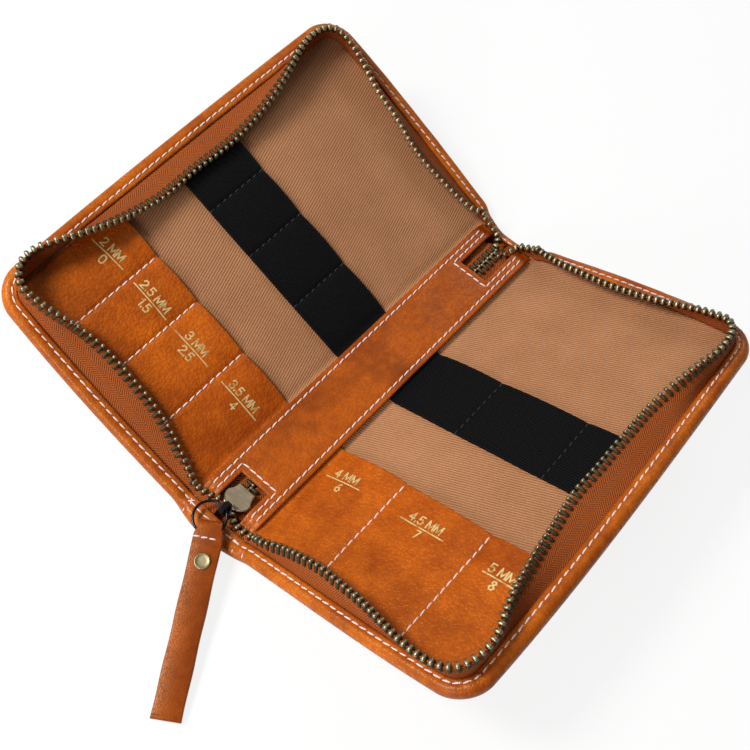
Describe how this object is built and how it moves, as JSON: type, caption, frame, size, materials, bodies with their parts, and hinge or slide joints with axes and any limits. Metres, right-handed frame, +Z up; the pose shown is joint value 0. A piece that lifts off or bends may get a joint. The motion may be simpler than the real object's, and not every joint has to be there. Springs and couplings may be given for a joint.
{
  "type": "knitting needle case",
  "caption": "Zip-around leather case that opens like a book, with leather pockets and elastic bands for interchangeable knitting needle tips in both covers.",
  "frame": {"origin": "middle of the spine's underside, on the surface the case lies on", "axes": "+Z up from the table; +Y along the spine from the pocket end with the zip's slider at -Y to the far end; +X across the spine to the right cover"},
  "size_m": [0.1892, 0.2075, 0.0468],
  "materials": {
    "outer_leather": "glazed cognac leather",
    "inner_leather": "glazed cognac leather",
    "lining_twill": "beige cotton twill",
    "elastic": "black ribbed elastic",
    "zip_tape": "rust-brown herringbone tape",
    "zip_brass": "antique brass",
    "slider_bronze": "antique brass plate",
    "dark_metal": "black nickel, polished",
    "board": "stiffener board",
    "strap_leather": "cognac leather, cut edges",
    "rivet_brass": "antique brass"
  },
  "bodies": {
    "spine": {"spine_leather": "outer_leather", "spine_board": "board", "spine_strip": "inner_leather", "zip_end_tape_bottom": "zip_tape", "zip_end_tape_top": "zip_tape", "zip_end_teeth_bottom": "zip_brass", "zip_end_teeth_top": "zip_brass", "zip_stop_bottom": "zip_brass", "zip_stop_top": "zip_brass"},
    "left_cover": {"left_leather": "outer_leather", "left_board": "board", "left_lining": "lining_twill", "left_pocket_panel": "inner_leather", "left_elastic_band": "elastic", "left_zip_tape": "zip_tape", "left_zip_teeth": "zip_brass"},
    "right_cover": {"right_leather": "outer_leather", "right_board": "board", "right_lining": "lining_twill", "right_pocket_panel": "inner_leather", "right_elastic_band": "elastic", "right_zip_tape": "zip_tape", "right_zip_teeth": "zip_brass"},
    "slider": {"slider_body": "slider_bronze", "slider_bail": "dark_metal"},
    "ring": {"pull_ring": "dark_metal"},
    "pull": {"pull_strap": "strap_leather", "pull_rivet": "rivet_brass"}
  },
  "joints": [
    {"name": "left_fold", "type": "hinge", "parent": "spine", "child": "left_cover", "pos_m": [-0.013, 0, 0.0007], "axis": [0, 1, 0], "range_deg": [-24, 60]},
    {"name": "right_fold", "type": "hinge", "parent": "spine", "child": "right_cover", "pos_m": [0.013, 0, 0.0007], "axis": [0, -1, 0], "range_deg": [-24, 60]},
    {"name": "zip_slide", "type": "slide", "parent": "spine", "child": "slider", "axis": [0, 1, 0], "range_m": [0, 0.002]},
    {"name": "ring_swing", "type": "hinge", "parent": "slider", "child": "ring", "pos_m": [0, -0.0712, 0.0076], "axis": [-0.9584, 0.2748, 0.0765], "range_deg": [0, 45]},
    {"name": "strap_turn", "type": "hinge", "parent": "ring", "child": "pull", "pos_m": [-0.00146, -0.07618, 0.00726], "axis": [-0.0551, 0.0849, -0.9949], "range_deg": [-18, 60]}
  ]
}
